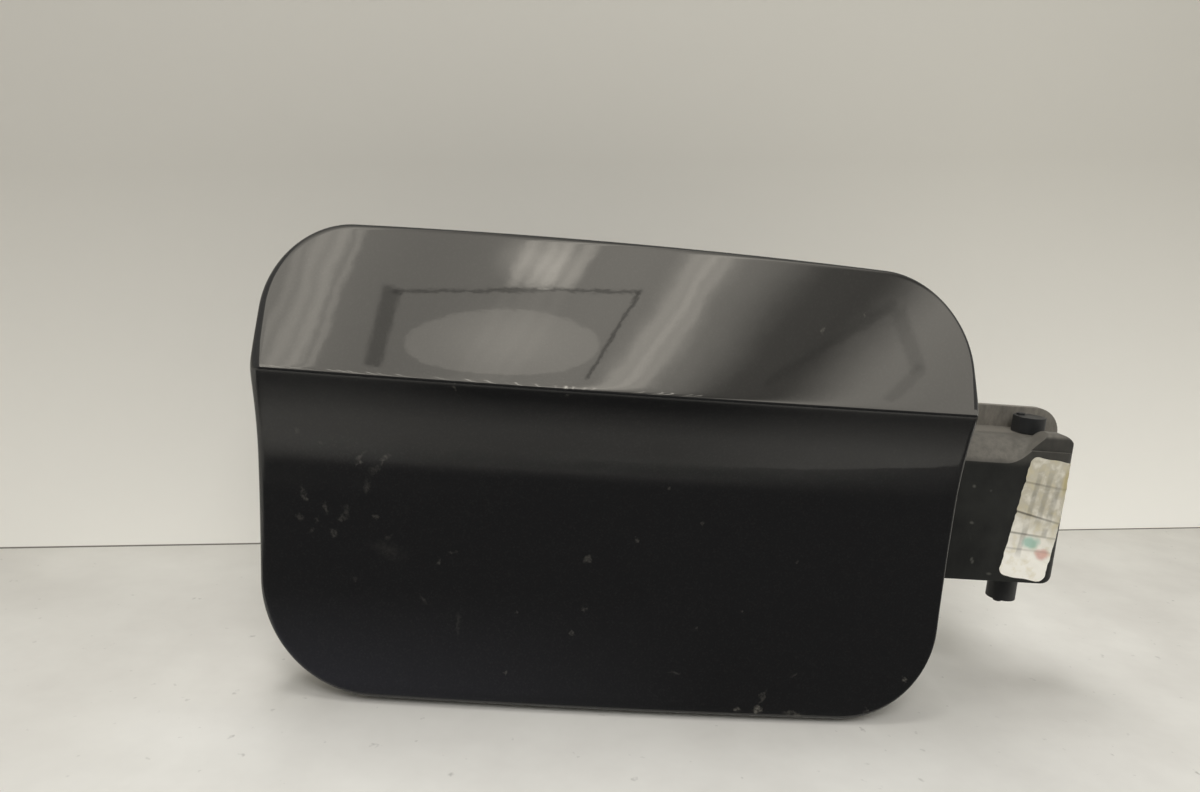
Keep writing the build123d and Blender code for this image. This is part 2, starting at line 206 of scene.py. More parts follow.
def makeFloorPaint(spec):
    # matt pale board, a little cloudy, with painted shade at its left end and small dirt marks
    material, tree, place, shader = startMaterial("paleBoard", {"Roughness": 0.8})
    cloud = addNode(tree, "TexNoise", spec["floorClouds"], {"Vector": place})
    tone = addNode(tree, "MapRange", fromTo(spec["floorTone"]), {"Value": cloud})
    colour = blendColour(tree, tone, *spec["floorColours"])
    # painted shade: the left end of the shelf is darker
    side = addNode(tree, "SeparateXYZ", {0: place}).node.outputs["X"]
    left = addNode(tree, "MapRange", fromTo(spec["floorLeft"], mm), {"Value": side})
    colour = blendColour(tree, left, colour, spec["floorLeftColour"])
    grit = addNode(tree, "TexNoise", spec["grit"], {"Vector": place})
    marks = addNode(tree, "MapRange", fromTo(spec["gritMarks"]), {"Value": grit})
    tree.links.new(blendColour(tree, marks, colour, spec["gritAndCornerShade"]), shader.inputs["Base Color"])
    seenFromFront(tree, shader.outputs[0])
    return material


def makeWallPaint(spec):
    # matt wall paint with painted light and shade: paler near the shelf, greyer up high and at the left end;
    # eye and reflections also see it a little brighter than it is lit, most at the foot
    material, tree, place, shader = startMaterial("paleWallPaint", {"Roughness": 0.9})
    axes = addNode(tree, "SeparateXYZ", {0: place}).node.outputs
    start, slope = spec["wallSlope"]
    more = addNode(tree, "Math", {0: axes["X"], 1: -slope, 2: start * mm * slope}, operation="MULTIPLY_ADD")
    height = addNode(tree, "Math", {0: axes["Z"], 1: more}, operation="ADD")
    rise = addNode(tree, "MapRange", fromTo(spec["wallRise"], mm), {"Value": height})
    left = addNode(tree, "MapRange", fromTo(spec["wallLeft"], mm), {"Value": axes["X"]})
    high = blendColour(tree, left, spec["wallHigh"], spec["wallLeftColour"])
    colour = blendColour(tree, rise, spec["wallLow"], high)
    # painted shade in the corner where wall and shelf meet
    line = [spec["floorZ"] + above for above in spec["cornerShade"]]
    cornerShade = addNode(tree, "MapRange", fromTo(line, mm), {"Value": axes["Z"]})
    colour = blendColour(tree, cornerShade, colour, spec["gritAndCornerShade"])
    rays = addNode(tree, "LightPath").node.outputs
    kinds = ("Is Camera Ray", "Is Glossy Ray", "Is Transmission Ray")
    seen = joinMasks(tree, "MAXIMUM", [rays[kind] for kind in kinds])
    glow = addNode(tree, "MapRange", fromTo(spec["wallGlow"]), {"Value": rise})
    glow = addNode(tree, "Math", {0: glow, 1: seen}, operation="MULTIPLY")
    tree.links.new(colour, shader.inputs["Base Color"])
    tree.links.new(colour, shader.inputs["Emission Color"])
    tree.links.new(glow, shader.inputs["Emission Strength"])
    seenFromFront(tree, shader.outputs[0])
    return material


# Ceiling light: what the facet mirrors. Only reflections see it.
ceilingSpec = {
    "height": 1100,
    "sides": (-950, 950),
    "ends": (60, -1250),  # y of its back and front edge
    "slant": 0.5,  # the strips lean this much
    "waves": {"Scale": 7, "Detail": 3},  # 7 to a metre
    "wander": (0, 1, -0.03, 0.03),  # shift of the strips by those waves, in metres
    "rampTop": 4.0,  # level that a full ramp stands for
    "broad": ((-0.75, 2.4), (-0.45, 2.4), (-0.15, 1.75), (0.22, 2.4), (0.42, 2.1), (0.60, 0.42),
              (0.68, 0.36), (0.86, 2.3), (1.05, 2.0)),  # place across the strips in metres, level
    "strips": ((-0.345, 0.075, 0.9), (-0.40, 0.018, 0.6), (-0.365, 0.022, 0.6), (-0.325, 0.024, 0.9),
               (-0.292, 0.016, 1.0), (0.36, 0.08, 1.9), (0.33, 0.02, 0.5), (0.362, 0.016, 0.6),
               (0.392, 0.016, 0.5)),  # place, half width, added level
    "shortStrips": ((0.08, 0.075, 1.1), (0.028, 0.02, 1.3), (0.062, 0.018, 0.9), (0.09, 0.022, 1.3),
                    (0.126, 0.02, 1.5)),
    "shortEnd": (-608, -592, 0.12, 1),  # y where the short strips stop, what is left of them in front
    "bars": (((-500, -619), (-26, -593), 8, 0.6), ((-500, -610), (-556, -785), 46, 0.5),
             ((-26, -590), (-116, -784), 9, 0.62), ((485, -570), (575, -690), 40, 0.2),
             ((578, -680), (530, -775), 40, 0.18), ((478, -560), (255, -760), 30, 0.25)),  # ends, width, loss
    "barEdge": (0.55, 0.2),  # share of the width where a bar starts and is full
    "barEnd": 6,  # softness of its ends
    "ovals": (((-289, -717), (194, 72), 3.3, 0.75, (1.03, 0.97)),
              ((-280, -705), (130, 60), 3.3, 0.55, (1.4, 0.1)),
              ((-222, -552), (80, 50), 0, 1.9, (1.3, 0.1))),  # centre, half sizes, degrees, added level, edge
    "lampRow": (-850, -880, 0, 8.0),  # small lamps that the crease mirrors: y, added level
    "lampSpacing": 21,
    "lampHalf": (0.14, 0.06),  # share of the spacing
    "lampLit": (0.35, 0.8),  # some of them are weak or out
    "lampEnd": (0.15, 0.13),  # x after the last of them, in metres
    "fade": (-500, -150, 1, 0.4),  # weaker towards the back
    "colours": ("#fff9ec", "#fff8ea"),
    "warmLevel": (1.0, 4.5),
}


def makeCeilingGlow(spec):
    # Soft panel light with paler and darker strips, an oval lamp and a few bars. The facet mirrors them as
    # slanting streaks, because its clear coat is as smooth as glass.
    material, tree, place = startMaterial("ceilingGlow")[:3]
    axes = addNode(tree, "SeparateXYZ", {0: place}).node.outputs
    slant = addNode(tree, "Math", {0: axes["Y"], 1: -spec["slant"]}, operation="MULTIPLY")
    across = addNode(tree, "Math", {0: axes["X"], 1: slant}, operation="ADD")
    wave = addNode(tree, "TexNoise", spec["waves"], {"Vector": place})
    shift = addNode(tree, "MapRange", fromTo(spec["wander"]), {"Value": wave})
    across = addNode(tree, "Math", {0: across, 1: shift}, operation="ADD")

    first, last, top = spec["broad"][0][0], spec["broad"][-1][0], spec["rampTop"]
    span = addNode(tree, "MapRange", fromTo((first, last)), {"Value": across})
    ramp = addNode(tree, "ValToRGB", {0: span})
    ramp.node.color_ramp.interpolation = "EASE"
    while len(ramp.node.color_ramp.elements) < len(spec["broad"]):
        ramp.node.color_ramp.elements.new(0.5)
    for element, (at, level) in zip(ramp.node.color_ramp.elements, spec["broad"]):
        element.position = (at - first) / (last - first)
        element.color = (level / top, level / top, level / top, 1)
    level = addNode(tree, "Math", {0: ramp, 1: top}, operation="MULTIPLY")

    behind = addNode(tree, "MapRange", fromTo(spec["shortEnd"], mm), {"Value": axes["Y"]})
    for at, half, more in (*spec["strips"], *spec["shortStrips"]):
        off = addNode(tree, "Math", {0: across, 1: at}, operation="SUBTRACT")
        near = addNode(tree, "Math", {0: off}, operation="ABSOLUTE")
        strip = addNode(tree, "MapRange", fromTo((half, 0, 0, more)), {"Value": near}, **smooth)
        if (at, half, more) in spec["shortStrips"]:
            strip = addNode(tree, "Math", {0: strip, 1: behind}, operation="MULTIPLY")
        level = addNode(tree, "Math", {0: level, 1: strip}, operation="ADD")

    for start, end, width, loss in spec["bars"]:
        run = np.array(end) - start
        half = float(np.linalg.norm(run)) / 2
        turn = float(np.arctan2(run[1], run[0]))
        local = addNode(tree, "Mapping", {"Location": (start[0] * mm, start[1] * mm, 0),
                                          "Rotation": (0, 0, turn)}, {"Vector": place}, vector_type="TEXTURE")
        parts = addNode(tree, "SeparateXYZ", {0: local}).node.outputs
        beside = addNode(tree, "Math", {0: parts["Y"]}, operation="ABSOLUTE")
        edge = [width * share for share in spec["barEdge"]]
        thick = addNode(tree, "MapRange", fromTo((*edge, 0, loss), mm), {"Value": beside}, **smooth)
        middle = addNode(tree, "Math", {0: parts["X"], 1: half * mm}, operation="SUBTRACT")
        along = addNode(tree, "Math", {0: middle}, operation="ABSOLUTE")
        soft = (half + spec["barEnd"], half - spec["barEnd"])
        ends = addNode(tree, "MapRange", fromTo(soft, mm), {"Value": along})
        dark = addNode(tree, "Math", {0: thick, 1: ends}, operation="MULTIPLY")
        keep = addNode(tree, "Math", {0: 1.0, 1: dark}, operation="SUBTRACT")
        level = addNode(tree, "Math", {0: level, 1: keep}, operation="MULTIPLY")

    for centre, halves, turn, more, edge in spec["ovals"]:
        local = addNode(tree, "Mapping", {"Location": (centre[0] * mm, centre[1] * mm, spec["height"] * mm),
                                          "Rotation": (0, 0, radians(turn)),
                                          "Scale": (halves[0] * mm, halves[1] * mm, 1)},
                        {"Vector": place}, vector_type="TEXTURE")
        out = addNode(tree, "VectorMath", {0: local}, operation="LENGTH").node.outputs["Value"]
        oval = addNode(tree, "MapRange", fromTo((*edge, 0, more)), {"Value": out}, **smooth)
        level = addNode(tree, "Math", {0: level, 1: oval}, operation="ADD")

    row = addNode(tree, "MapRange", fromTo(spec["lampRow"], mm), {"Value": axes["Y"]})
    count = addNode(tree, "Math", {0: axes["X"], 1: 1 / (spec["lampSpacing"] * mm)}, operation="MULTIPLY")
    part = addNode(tree, "Math", {0: count}, operation="FRACT")
    middle = addNode(tree, "Math", {0: part, 1: 0.5}, operation="SUBTRACT")
    beside = addNode(tree, "Math", {0: middle}, operation="ABSOLUTE")
    whole = addNode(tree, "Math", {0: count}, operation="FLOOR")
    lit = addNode(tree, "TexWhiteNoise", {"W": whole}, noise_dimensions="1D")
    lamps = [addNode(tree, "MapRange", fromTo(spec[marks]), {"Value": value})
             for value, marks in ((beside, "lampHalf"), (lit, "lampLit"), (axes["X"], "lampEnd"))]
    lamps = joinMasks(tree, "MULTIPLY", [row, *lamps])
    level = addNode(tree, "Math", {0: level, 1: lamps}, operation="ADD")

    fade = addNode(tree, "MapRange", fromTo(spec["fade"], mm), {"Value": axes["Y"]})
    level = addNode(tree, "Math", {0: level, 1: fade}, operation="MULTIPLY")
    warm = addNode(tree, "MapRange", fromTo(spec["warmLevel"]), {"Value": level})
    colour = blendColour(tree, warm, *spec["colours"])
    glow = addNode(tree, "Emission", {"Color": colour, "Strength": level})
    seenFromFront(tree, glow)
    return material


# Cloth of the cards, in mm
flagAndShadeSpec = {
    "colour": "#f0f0f4",
    "level": 0.1,
    # the shelf net: painted shade of the shelf in front of the door, as the panel mirrors it
    "shelfShadeLevel": 0.05,
    "blue": "#8084d8",
    "blueLeft": (-110, -260),  # x where the blue light starts and is full
    "blueLow": (-56, -88),  # height where it starts and is full
    "shelfShadeNear": (-152, -102, 0.2, 1),  # y from thin to dense
    "shelfShadeCentre": -150,  # x
    "shelfShadeMiddle": (130, 30, 0, 0.27),  # distance from there, what it adds
}


def fadedEdges(tree, axes, marks):
    # 1 inside a card, fading to 0 over each mark: axis, where it is clear, where it is full
    edges = [addNode(tree, "MapRange", fromTo((clear, full), mm), {"Value": axes[axis]}, **smooth)
             for axis, clear, full in marks]
    return joinMasks(tree, "MULTIPLY", edges)


def shownBy(tree, mask, glow):
    # the glow where the mask is 1, nothing where it is 0
    clear = addNode(tree, "BsdfTransparent")
    both = addNode(tree, "MixShader", {0: mask, 1: clear, 2: glow})
    tree.links.new(both, tree.nodes["Material Output"].inputs["Surface"])


def makeFlagAndShadeCloth(spec, card):
    # black cloth of a studio flag with soft edges, a little blue light on its lower left part; on the foot card
    # it is painted shade of the shelf
    material, tree, place = startMaterial(card["cloth"])[:3]
    turned = addNode(tree, "VectorRotate", {"Angle": card["lean"]}, {"Vector": place}, rotation_type="Y_AXIS")
    axes = addNode(tree, "SeparateXYZ", {0: turned}).node.outputs
    left = addNode(tree, "MapRange", fromTo((*spec["blueLeft"], 0, card["cool"]), mm), {"Value": axes["X"]})
    low = addNode(tree, "MapRange", fromTo(spec["blueLow"], mm), {"Value": axes["Z"]})
    blue = addNode(tree, "Math", {0: left, 1: low}, operation="MULTIPLY")
    level = addNode(tree, "Math", {0: blue, 1: spec["level"]}, operation="ADD")
    colour = blendColour(tree, blue, spec["colour"], spec["blue"])
    glow = addNode(tree, "Emission", {"Color": colour, "Strength": level})
    shownBy(tree, fadedEdges(tree, axes, card["edges"]), glow)
    return material


def makeShelfShadeNet(spec, card):
    # thin dark sheet low over the shelf that only reflections see: painted shade of the shelf, densest near the
    # door and in the middle
    material, tree, place = startMaterial(card["cloth"])[:3]
    axes = addNode(tree, "SeparateXYZ", {0: place}).node.outputs
    near = addNode(tree, "MapRange", fromTo(spec["shelfShadeNear"], mm), {"Value": axes["Y"]}, **smooth)
    off = addNode(tree, "Math", {0: axes["X"], 1: -spec["shelfShadeCentre"] * mm}, operation="ADD")
    aside = addNode(tree, "Math", {0: off}, operation="ABSOLUTE")
    more = addNode(tree, "MapRange", fromTo(spec["shelfShadeMiddle"], mm), {"Value": aside}, **smooth)
    there = addNode(tree, "Math", {0: near, 1: more}, operation="ADD", use_clamp=True)
    ends = fadedEdges(tree, axes, card["edges"])
    there = addNode(tree, "Math", {0: there, 1: ends}, operation="MULTIPLY")
    glow = addNode(tree, "Emission", {"Color": toLinear(spec["colour"]), "Strength": spec["shelfShadeLevel"]})
    shownBy(tree, there, glow)
    return material


# Four dark cards that only reflections see, so they paint darkness into what the panel mirrors; the foot card
# and the shelf net paint the shade of the shelf in front of the door. The corner counts from the shelf, in mm,
# and lean is in radians.
# cool is how much blue light a card gets.
cardSpecs = {
    "frontFlag": {
        "make": makeFlagAndShadeCloth, "cloth": "flagCloth", "lean": 0.0, "cool": 0.0,
        "corner": (-400, -200, 0), "along": (550, 0, 0), "across": (0, 0, 270),
        "edges": (("Z", -89, -66), ("Z", 178, 120), ("X", -400, -335), ("X", 148, 80)),
    },
    "lowFlag": {
        "make": makeFlagAndShadeCloth, "cloth": "lowFlagCloth", "lean": 0.036, "cool": 0.3,
        "corner": (-300, -62, 0), "along": (360, 0, 0), "across": (0, 0, 70),
        "edges": (("Z", -14, -27), ("X", -298, -275), ("X", 55, -10)),
    },
    "footShadeCard": {
        "make": makeFlagAndShadeCloth, "cloth": "footShadeCloth", "lean": 0.0, "cool": 0.24,
        "corner": (-300, -40, 0.4), "along": (360, 0, 0), "across": (0, -23, 0),
        "edges": (("Y", -43.5, -46.5), ("X", -298, -275), ("X", 55, -10)),
    },
    "shelfShadeNet": {
        "make": makeShelfShadeNet, "cloth": "shelfShadeNetCloth",
        "corner": (-380, -64, 11), "along": (510, 0, 0), "across": (0, -150, 0),
        "edges": (("X", -380, -335), ("X", 130, 75), ("Y", -214, -200)),
    },
}


def setStage(spec, ceiling, flagAndShade, cards):
    # shelf and wall, ceiling and cards for the reflections, two lamps and a pale sky
    floorZ, size = spec["floorZ"], spec["floorSize"]
    sheetBetween("shelf", (-size / 2, -size / 2, floorZ), (size, 0, 0), (0, size, 0), makeFloorPaint(spec), 3)
    left, right = (np.array([*end, floorZ]) for end in spec["wallLine"])
    reach = (right - left) / np.linalg.norm(right - left) * spec["wallReach"]
    sheetBetween("wall", left - reach, 2 * reach, (0, 0, spec["wallHeight"]), makeWallPaint(spec), 3)
    (first, last), (back, front) = ceiling["sides"], ceiling["ends"]
    mirrored = [sheetBetween("ceilingLight", (first, back, ceiling["height"]), (last - first, 0, 0),
                             (0, front - back, 0), makeCeilingGlow(ceiling))]
    for name, card in cards.items():
        x, y, above = card["corner"]
        mirrored.append(sheetBetween(name, (x, y, floorZ + above), card["along"], card["across"],
                                     card["make"](flagAndShade, card)))
    for sheet in mirrored:
        sheet.visible_camera = False
        sheet.visible_diffuse = False
        sheet.visible_shadow = False
        sheet.visible_transmission = False
    for name, place, aim, size, watts in spec["lamps"]:
        lamp = bpy.data.lights.new(name, "AREA")
        lamp.shape = "RECTANGLE"
        lamp.size, lamp.size_y = size[0] * mm, size[1] * mm
        lamp.energy = watts
        hung = bpy.data.objects.new(name, lamp)
        hung.location = Vector(place) * mm
        hung.rotation_euler = (Vector(aim) - Vector(place)).to_track_quat("-Z", "Y").to_euler()
        hung.visible_glossy = False
        scene.collection.objects.link(hung)
    world = bpy.data.worlds.new("paleRoom")
    world.use_nodes = True
    sky = world.node_tree.nodes["Background"]
    sky.inputs["Color"].default_value = toLinear(spec["sky"])
    sky.inputs["Strength"].default_value = spec["skyLevel"]
    scene.world = world


setStage(stageSpec, ceilingSpec, flagAndShadeSpec, cardSpecs)
print("stage set")


# Outer panel: a painted tray whose front has a crease, a leaning facet above it and a hollow below it
panelSpec = {
    "right": -37.9,
    "width": 220.0,
    "creaseY": -42.0,
    "creaseZ": 11.0,
    "rise": (42.1, 39.8),  # left and right, above the crease
    "drop": (101.8, 102.3),
    "topBow": 2.9,
    "lean": (2.34, 0.97),  # degrees
    "corners": (25.4, 27.2, 30.9, 36.8),  # top left, top right, bottom right, bottom left
    "facetLean": 32.4,  # degrees
    "creaseSoft": 0.4,
    "scoopHeight": 30.0,
    "scoopDepth": 5.7,
    "swell": 525.0,  # radius of the lower face
    "bow": 2467.0,  # radius side to side
    "skin": 2.8,
    "flange": 12.0,
    "wall": 2.4,
    "edge": (1.1, 1.5, 0.5),  # rounding of the rim, what the left side adds and what the foot adds
    "edgeBack": 0.65,  # how far back it reaches for each mm inwards
    "edgeRings": (0.12, 0.24, 0.36, 0.48, 0.6, 0.72, 0.86, 1.0),  # share of the way round it
    "rimSoft": 3.0,  # the crease fades over the rim
    "midFlange": 5.0,  # depth of a ring on the flange
    "lip": (0.4, 0.3),  # rounding of the flange's end, outside and inside
    "fillet": 1.0,  # inside, between flange and skin
    "paintedRings": 4,  # the paint ends this many rings past the rim, on the lip
    "columns": 190,
    "rowSteps": (0.22, 1.5, 1.16),  # first and largest step away from the crease, growth
    "rowReach": (60, 100),  # length that the steps fill, above and below
    "bossRadius": 4.2,
    "bossHole": 2.0,
    "bossEdge": 0.3,
    "bossBack": -24.5,
    "bossTurns": 40,
    "bosses": ((-147.9, -66.8), (-147.9, 13.0), (-67.9, -66.8), (-67.9, 13.0), (-231.9, -38.0),
               (-231.9, -10.0)),
}


def panelFront(spec, x, z, soft=None):
    # depth behind the crease is the greater of the facet's straight lean and the lower arc, rounded where they
    # meet: half of (a + b + root((a - b)^2 + soft^2)); then the whole is bowed side to side on a large circle
    above = z - spec["creaseZ"]
    below = above + spec["scoopHeight"]
    scoop = (spec["scoopDepth"] ** 2 + spec["scoopHeight"] ** 2) / 2 / spec["scoopDepth"]
    radius = np.where(below > 0, scoop, spec["swell"])
    reach = np.minimum(below, spec["scoopHeight"])
    arc = spec["scoopDepth"] - radius + np.sqrt(radius**2 - reach**2)
    arc = arc - np.maximum(above, 0) * spec["scoopHeight"] / (scoop - spec["scoopDepth"])
    facet = above * tan(radians(spec["facetLean"]))
    soft = spec["creaseSoft"] if soft is None else soft
    depth = (facet + arc + np.sqrt((facet - arc) ** 2 + soft**2)) / 2
    aside = x - (spec["right"] - spec["width"] / 2)
    return spec["creaseY"] + spec["bow"] - np.sqrt((spec["bow"] - depth) ** 2 - aside**2)


def panelOutline(spec, rowsUp, rowsDown, columns):
    # Loop from the crease's left end up, over, down and back, in runs that end at the crease and half way round
    # each corner. Straight sides and a shallow parabola on top, with a circle of its own radius in each corner.
    # Gives the points, the outward directions and the number of points in each run.
    cornerCount, topCount, sideCount = 60, 200, 120  # points of the runs before they are stepped
    half = cornerCount // 2
    left = spec["right"] - spec["width"]
    middle = spec["right"] - spec["width"] / 2
    lean = np.tan(np.radians(spec["lean"]))
    (riseLeft, riseRight), (dropLeft, dropRight) = spec["rise"], spec["drop"]
    creaseZ = spec["creaseZ"]
    creaseLeft, creaseRight = np.array([left, creaseZ]), np.array([spec["right"], creaseZ])
    tops = np.array([[left - riseLeft * lean[0], creaseZ + riseLeft],
                     [spec["right"] + riseRight * lean[1], creaseZ + riseRight]])
    feet = np.array([[left + dropLeft * lean[0], creaseZ - dropLeft],
                     [spec["right"] - dropRight * lean[1], creaseZ - dropRight]])
    topZ = tops[:, 1].mean()
    peak = np.array([middle, topZ + 2 * spec["topBow"]])  # where the end tangents of the top edge meet

    def rounded(before, corner, after, radius):
        # circle that touches the two straight lines of a corner
        one, two = ((end - corner) / np.linalg.norm(end - corner) for end in (before, after))
        angle = np.arccos(one @ two) / 2
        centre = corner + (one + two) / np.linalg.norm(one + two) * radius / np.sin(angle)
        touch = (corner + side * radius / np.tan(angle) - centre for side in (one, two))
        start, stop = (np.arctan2(z, x) for x, z in touch)
        turn = start + np.linspace(0, 1, cornerCount) * ((stop - start + np.pi) % (2 * np.pi) - np.pi)
        return centre + radius * np.c_[np.cos(turn), np.sin(turn)]

    radii = spec["corners"]
    topLeft = rounded(creaseLeft, tops[0], peak, radii[0])
    topRight = rounded(peak, tops[1], creaseRight, radii[1])
    lowRight = rounded(creaseRight, feet[1], feet[0], radii[2])
    lowLeft = rounded(feet[1], feet[0], creaseLeft, radii[3])
    t = np.linspace(0, 1, topCount)[1:-1, None]
    ends = (topLeft[-1] + topRight[0]) / 2
    bend = ends * (1, 0) + (0, topZ + spec["topBow"])
    over = (1 - t) ** 2 * topLeft[-1] + 2 * t * (1 - t) * (2 * bend - ends) + t**2 * topRight[0]
    straight = np.linspace(0, 1, sideCount)[:-1, None]
    runs = [np.r_[creaseLeft + straight * (topLeft[0] - creaseLeft), topLeft[:half]],
            np.r_[topLeft[half - 1:], over, topRight[:half + 1]],
            np.r_[topRight[half:], topRight[-1] + straight[1:] * (creaseRight - topRight[-1]),
                  creaseRight[None]],
            np.r_[creaseRight + straight * (lowRight[0] - creaseRight), lowRight[:half]],
            np.r_[lowRight[half - 1:], lowLeft[:half + 1]],
            np.r_[lowLeft[half:], lowLeft[-1] + straight[1:] * (creaseLeft - lowLeft[-1]),
                  creaseLeft[None]]]
    steps = [rowsUp, columns, 1 - rowsUp[::-1], rowsDown, columns, 1 - rowsDown[::-1]]
    points = []
    for run, step in zip(runs, steps):
        length = np.r_[0, np.cumsum(np.linalg.norm(np.diff(run, axis=0), axis=1))]
        points.append(np.stack([np.interp(step * length[-1], length, run[:, i]) for i in (0, 1)], 1)[:-1])
    loop = np.concatenate(points)
    along = np.roll(loop, -1, 0) - np.roll(loop, 1, 0)
    outward = np.c_[-along[:, 1], along[:, 0]] / np.linalg.norm(along, axis=1)[:, None]
    return loop, outward, [len(part) for part in points]


def coonsPatch(low, high, left, right):
    # sheet between four edges: the blend of low and high plus the blend of left and right, less the blend of
    # the four corners
    u = np.linspace(0, 1, len(low))[None, :, None]
    v = np.r_[0, np.cumsum(np.linalg.norm(np.diff(left, axis=0), axis=1))]
    v = (v / v[-1])[:, None, None]
    across = (1 - v) * low[None] + v * high[None]
    upward = (1 - u) * left[:, None] + u * right[:, None]
    corners = (1 - v) * ((1 - u) * low[0] + u * low[-1]) + v * ((1 - u) * high[0] + u * high[-1])
    return across + upward - corners


def growingSteps(length, first, largest, rate):
    # fractions of a length that start close together and widen
    mostSteps = 400
    sizes = first * rate ** np.arange(mostSteps)
    marks = np.cumsum(np.minimum(sizes, largest))
    marks = np.r_[0, marks[marks < length - largest / 2], length]
    return marks / length


def makePanelMesh(spec, paint, primer):
    # a grid for the front, rings round the rim, down the flange and up again, a grid inside, then the bosses
    columns = np.linspace(0, 1, spec["columns"])
    rowsUp, rowsDown = (growingSteps(reach, *spec["rowSteps"]) for reach in spec["rowReach"])
    loop, outward, counts = panelOutline(spec, rowsUp, rowsDown, columns)
    starts = np.cumsum([0, *counts])

    def faceGrid(inset, back):
        # front outline drawn in by the inset, filled above and below the crease, laid on the front and set back
        rim = loop - inset * outward
        ring = np.r_[rim, rim[:1]]
        cut = [ring[a:b + 1] for a, b in zip(starts[:-1], starts[1:])]
        crease = cut[0][0] + columns[:, None] * (cut[3][0] - cut[0][0])
        upper = coonsPatch(crease, cut[1], cut[0], cut[2][::-1])
        lower = coonsPatch(crease, cut[4][::-1], cut[5][::-1], cut[3])
        grid = np.r_[lower[:0:-1], upper]
        y = panelFront(spec, grid[..., 0], grid[..., 1]) + back
        return np.stack([grid[..., 0], y, grid[..., 1]], -1)

    def ringAt(inset, back, soft=spec["rimSoft"]):
        # loop drawn in by the inset, behind the front by back
        flat = loop - inset * outward
        return np.c_[flat[:, 0], panelFront(spec, flat[:, 0], flat[:, 1], soft) + back, flat[:, 1]]

    skin, wall, deep, fillet = spec["skin"], spec["wall"], spec["flange"], spec["fillet"]
    every, left, foot = spec["edge"]
    edge = every + left * np.maximum(-outward[:, :1], 0) ** 2 + foot * np.maximum(-outward[:, 1:], 0) ** 2
    front = faceGrid(edge, 0)
    inner = faceGrid(wall + fillet, skin)
    start = ringAt(edge, 0, spec["creaseSoft"])
    bend = ringAt(0, 0)
    end = ringAt(0, spec["edgeBack"] * edge[:, 0])
    rings = [(1 - t) ** 2 * start + 2 * t * (1 - t) * bend + t**2 * end for t in spec["edgeRings"]]
    outer, inside = spec["lip"]
    corner = 0.3  # middle of a rounding, as a share of its radius
    profile = ((0, spec["midFlange"]), (0, deep - outer), (outer * corner, deep - outer * corner),
               (outer, deep), (wall - inside, deep), (wall, deep - inside), (wall, skin + 3 * fillet),
               (wall, skin + fillet), (wall + fillet * corner, skin + fillet * corner))  # inset and depth
    rings += [ringAt(*step) for step in profile]
    rows, cols = front.shape[:2]
    index = np.arange(rows * cols).reshape(rows, cols)
    middle = rows - 1 - counts[0]
    border = np.r_[index[middle:-1, 0], index[-1, :-1], index[:0:-1, -1], index[0, :0:-1], index[:middle, 0]]
    loopIndex = [border]
    base = rows * cols
    for ring in rings:
        loopIndex.append(base + np.arange(len(ring)))
        base += len(ring)
    loopIndex.append(border + base)
    quads = gridFaces(index)
    bands = [np.stack([a, np.roll(a, -1), np.roll(b, -1), b], -1)
             for a, b in zip(loopIndex[:-1], loopIndex[1:])]
    points = [front.reshape(-1, 3), *rings, inner.reshape(-1, 3)]
    faces = [quads, *bands, quads[:, ::-1] + base]
    lastPainted = len(spec["edgeRings"]) + spec["paintedRings"]
    painted = len(quads) + sum(len(band) for band in bands[:lastPainted])
    base += rows * cols

    turn = np.linspace(0, 2 * np.pi, spec["bossTurns"], endpoint=False)
    back, hole, outside, blunt = spec["bossBack"], spec["bossHole"], spec["bossRadius"], spec["bossEdge"]
    for x, z in spec["bosses"]:  # profile turned about each screw, closed at both ends
        at = float(panelFront(spec, x, z))
        profile = np.array([(hole, at + skin), (hole, back - blunt), (hole + blunt, back),
                            (outside - blunt, back), (outside, back - blunt), (outside, at + skin / 2)])
        radius, depth = profile[:, :1], profile[:, 1:]
        spun = np.stack([x + radius * np.cos(turn), depth + 0 * turn, z + radius * np.sin(turn)], -1)
        spun[-1, :, 1] = panelFront(spec, spun[-1, :, 0], spun[-1, :, 2]) + skin / 2  # ends inside the skin
        ids = base + np.arange(spun.shape[0] * len(turn)).reshape(-1, len(turn))
        nextIds = np.roll(ids, -1, 1)
        poles = ids[-1, -1] + np.array([1, 2])
        points += [spun.reshape(-1, 3), np.array([(x, at + skin, z), (x, at + skin / 2, z)])]
        faces += [np.stack([ids[:-1], nextIds[:-1], nextIds[1:], ids[1:]], -1).reshape(-1, 4),
                  np.stack([nextIds[0], ids[0], np.full(len(turn), poles[0])], -1),
                  np.stack([ids[-1], nextIds[-1], np.full(len(turn), poles[1])], -1)]
        base += ids.size + 2
    total = sum(len(block) for block in faces)
    slots = np.r_[np.zeros(painted, int), np.ones(total - painted, int)]
    return meshObject("paintedPanel", np.concatenate(points), faces, [paint, primer], slots)


strokeSpread = 0.3  # mm added to a stroke's half width, because it fades at its edge


def strokeMask(tree, place, stroke):
    # strength in the middle of a small stroke on the front, fading to 0 at its edge
    x, z, long, wide, turn, strength = stroke
    size = (long * mm, 1, (wide + strokeSpread) * mm)
    local = addNode(tree, "Mapping", {"Location": (x * mm, 0, z * mm), "Rotation": (0, radians(-turn), 0),
                                      "Scale": size}, {"Vector": place}, vector_type="TEXTURE")
    out = addNode(tree, "VectorMath", {0: local}, operation="LENGTH").node.outputs["Value"]
    return addNode(tree, "MapRange", fromTo((1, 0.1, 0, strength)), {"Value": out}, **smooth)


